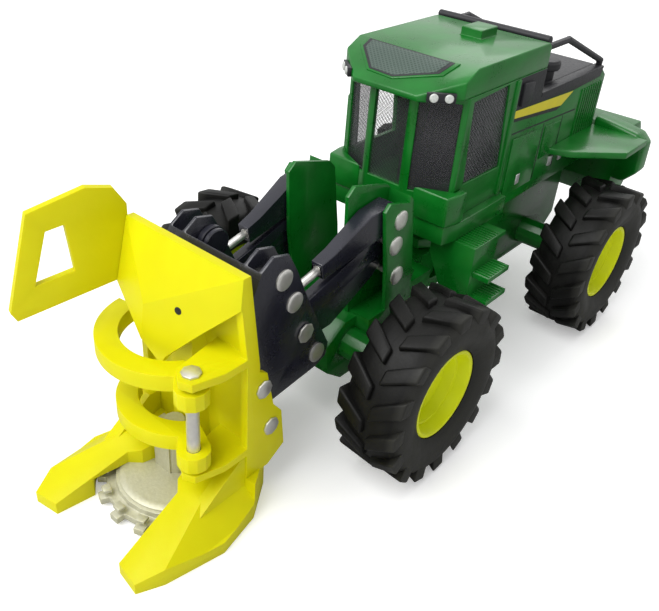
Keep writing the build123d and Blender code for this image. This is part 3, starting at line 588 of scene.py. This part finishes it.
# Linkage
# Lift arms, tapered cylinders and the carriage are black plastic with a satin skin, glossier
# in patches. Bare steel rivets and rods join them to the towers and to each other.
satin_black, shader, place = new_finish("satin_black_plastic", Specular_IOR_Level=0.5, Coat_Weight=0.12,
                                        Coat_Roughness=0.25)
smear = place.noise(0.004, 4)
smear.tint((0.010, 0.010, 0.016), (0.019, 0.020, 0.032)).into(shader, "Base Color")
(0.17 + smear * 0.2).into(shader, "Roughness")
(place.noise(0.0007, 3) + smear * 0.5).bump(0.00003).into(shader, "Normal")
for node in ("lift_arm_left", "lift_arm_right", "carriage"):
    dressed(node, 0.3, satin_black, "black_plastic")
for node in ("tilt_casing_left", "tilt_casing_right"):
    dressed(node, 0.6, satin_black, "black_plastic", steps=4)
steel = mottled("rivet_steel", size=0.0012, detail=5, dark=(0.55, 0.54, 0.51), pale=(0.80, 0.79, 0.75),
                rough=0.24, spread=0.28, height=0.00003, Metallic=0.8)
for node in ("tilt_gland_left", "tilt_gland_right", "tilt_rod_left", "tilt_rod_right", "arm_pins"):
    dressed(node, 0.1, steel, "bright_metal", sharp=40)

# Each row of rivets has its (x, z) places, and how far out its heads sit and its shanks begin.
for node, body, places, outer, inner in (
        ("tower_pins", "front", ((11.25, 39.25), (11.8, 34.63), (10.38, 28.26)), 11.1, 6.7),
        ("carriage_pins", "head", ((38.08, 38.57), (35.51, 33.56), (29.34, 20.9)), 9.9, 6.9)):
    head_rings = [(outer, 1.72), (outer + 0.22, 1.72), (outer + 0.36, 1.5), (outer + 0.42, 1.0),
                  (outer + 0.44, 0.05)]
    shank_rings = [(inner, 0.6), (outer - 0.7, 0.6)]
    rivets = []
    for x, z in places:
        for side in (1, -1):
            rivets.append(turned("rivet", (x, 0, z), (0, side, 0), head_rings, sides=32))
            rivets.append(turned("shank", (x, 0, z), (0, side, 0), shank_rings, sides=16))
    fitted(joined(rivets, node + "_shown"), steel, "bright_metal", body, node)
knuckle_rings = [(4.1, 0.05), (4.1, 2.3), (4.25, 2.5), (4.75, 2.5), (4.9, 2.3), (4.9, 2.0), (5.1, 2.0),
                 (5.1, 2.5), (5.25, 2.7), (5.95, 2.7), (6.15, 2.5), (6.15, 0.05)]
for side, name in both_sides:
    knuckle = turned("knuckle_" + name, (38.08, 0, 38.57), (0, side, 0), knuckle_rings, sides=40)
    fitted(knuckle, satin_black, "black_plastic", "head")


# Felling head
# Moulded in bright lemon plastic, slightly see-through where it is thin, with soft flow
# marks. It is riveted to the carriage, and a steel pin carries its two gathering arms.
lemon, shader, place = new_finish("lemon_plastic", Specular_IOR_Level=0.18, Subsurface_Weight=0.1,
                                  Subsurface_Scale=0.0015)
flow = place.noise(0.012, 3)
flow.between(0.3, 0.7).tint((0.64, 0.60, 0.001), (0.71, 0.67, 0.002)).into(shader, "Base Color")
(0.34 + place.noise(0.002, 4) * 0.16).into(shader, "Roughness")
(place.noise(0.003, 2) + place.noise(0.0006, 2) * 0.3).bump(0.00003).into(shader, "Normal")
for node in ("head_body", "head_base", "upper_arm", "lower_arm"):
    dressed(node, 0.45, lemon, "yellow_plastic", steps=3)
dressed("head_wing", 0.6, lemon, "yellow_plastic", steps=4, sharp=20)
dressed("head_plate", 0.45, lemon, "yellow_plastic", steps=3, sharp=14)

# The slot in the top plate is painted shade: a thin dark disc that lies on it.
plate_outward = (0.978, 0.188, 0.096)
slot_rings = [(-0.2, 0.6), (0.06, 0.6), (0.08, 0.55), (0.08, 0.05)]
painted_slot_shade = turned("painted_slot_shade", (51.38, 2.1, 35.58), plate_outward, slot_rings, sides=20)
fitted(painted_slot_shade, dull_black_and_painted_shade, "black_plastic", "head")
for node in ("hinge_pin", "head_rivets"):
    dressed(node, 0.15, steel, "bright_metal", sharp=40)


# Saw
# A toothed disc cast in bare zinc, with a grainy pale skin, a raised middle and a second step
# on each tooth. It spins under the head, and a square grey post stands over it.
zinc, shader, place = new_finish("bare_zinc", Metallic=0.35)
grit = place.noise(0.0006, 4)
# The yellow cast in these colours is painted bounce light from the yellow head. The zinc itself is pale grey.
grit.tint((0.44, 0.43, 0.31), (0.60, 0.59, 0.46)).into(shader, "Base Color")
(0.38 + grit * 0.2).into(shader, "Roughness")
(grit + place.noise(0.003, 3)).bump(0.00006).into(shader, "Normal")
for node in ("saw_disc", "saw_post"):
    dressed(node, 0.2, zinc, "cast_metal")
saw_x, disc_top, tooth_count = 51.4, 2.9, 16
hump_rings = [(0, 9.4), (0.35, 9.3), (0.6, 8.9), (0.7, 8.2), (0.72, 0.1)]
hump = turned("saw_hump", (saw_x, 0, disc_top), up, hump_rings, sides=64)
tooth_outline = [(10.9, -0.9), (12.3, -0.75), (12.3, 0.75), (10.9, 0.9)]
step = plate("tooth_step", [(x, y, disc_top + 0.45) for x, y in tooth_outline], 0.6, rounding=0.15)
saw_steps = [hump]
for number in range(tooth_count):
    turn = Matrix.Rotation(math.radians(number * 360 / tooth_count), 4, "Z")
    saw_steps.append(copied(step, "tooth_step_copy", Matrix.Translation(mm(saw_x, 0, 0)) @ turn))
bpy.data.objects.remove(step)
fitted(joined(saw_steps, "saw_relief"), zinc, "cast_metal", "saw")


# Floor and light
# A matte white table top, plain white to the camera and greyer in reflections, under three
# broad, soft studio lamps and an even white sky.
bpy.ops.object.select_all(action="DESELECT")
bpy.ops.mesh.primitive_plane_add(size=6)
floor = bpy.context.active_object
floor.name = "floor"
paper, shader, place = new_finish("white_table", Specular_IOR_Level=0.2, Roughness=0.6, Emission_Strength=0.3)
seen = Shade(paper.node_tree).node("LightPath", output="Is Camera Ray")
mirrored = seen.beside("Is Glossy Ray")
seen.tint((0, 0, 0), (1, 1, 1)).into(shader, "Emission Color")
whiteness = mirrored + place.noise(0.05) * 0.02
whiteness.tint((0.92, 0.92, 0.92), (0.4, 0.4, 0.4)).into(shader, "Base Color")
floor.data.materials.append(paper)
world = bpy.data.worlds.new("studio")
bpy.context.scene.world = world
world.use_nodes = True
sky = world.node_tree.nodes["Background"]
seen = Shade(world.node_tree).node("LightPath", output="Is Camera Ray")
(0.3 + 0.7 * seen + 0.7 * seen.beside("Is Glossy Ray")).into(sky, "Strength")
sky.inputs["Color"].default_value = (1, 1, 1, 1)
for name, x, y, z, size, power in (
        ("key", 0.4, -0.08, 0.5, 0.5, 4.2),
        ("fill", 0.3, 0.4, 0.4, 0.5, 0.45),
        ("back", -0.4, -0.1, 0.5, 0.4, 1.3)):
    lamp = bpy.data.objects.new(name, bpy.data.lights.new(name, "AREA"))
    bpy.context.scene.collection.objects.link(lamp)
    lamp.data.size = size
    lamp.data.energy = power
    lamp.location = (x, y, z)
    lamp.rotation_euler = (Vector((0, 0, 0.02)) - lamp.location).to_track_quat("-Z", "Y").to_euler()
bpy.context.scene.view_settings.view_transform = "Standard"
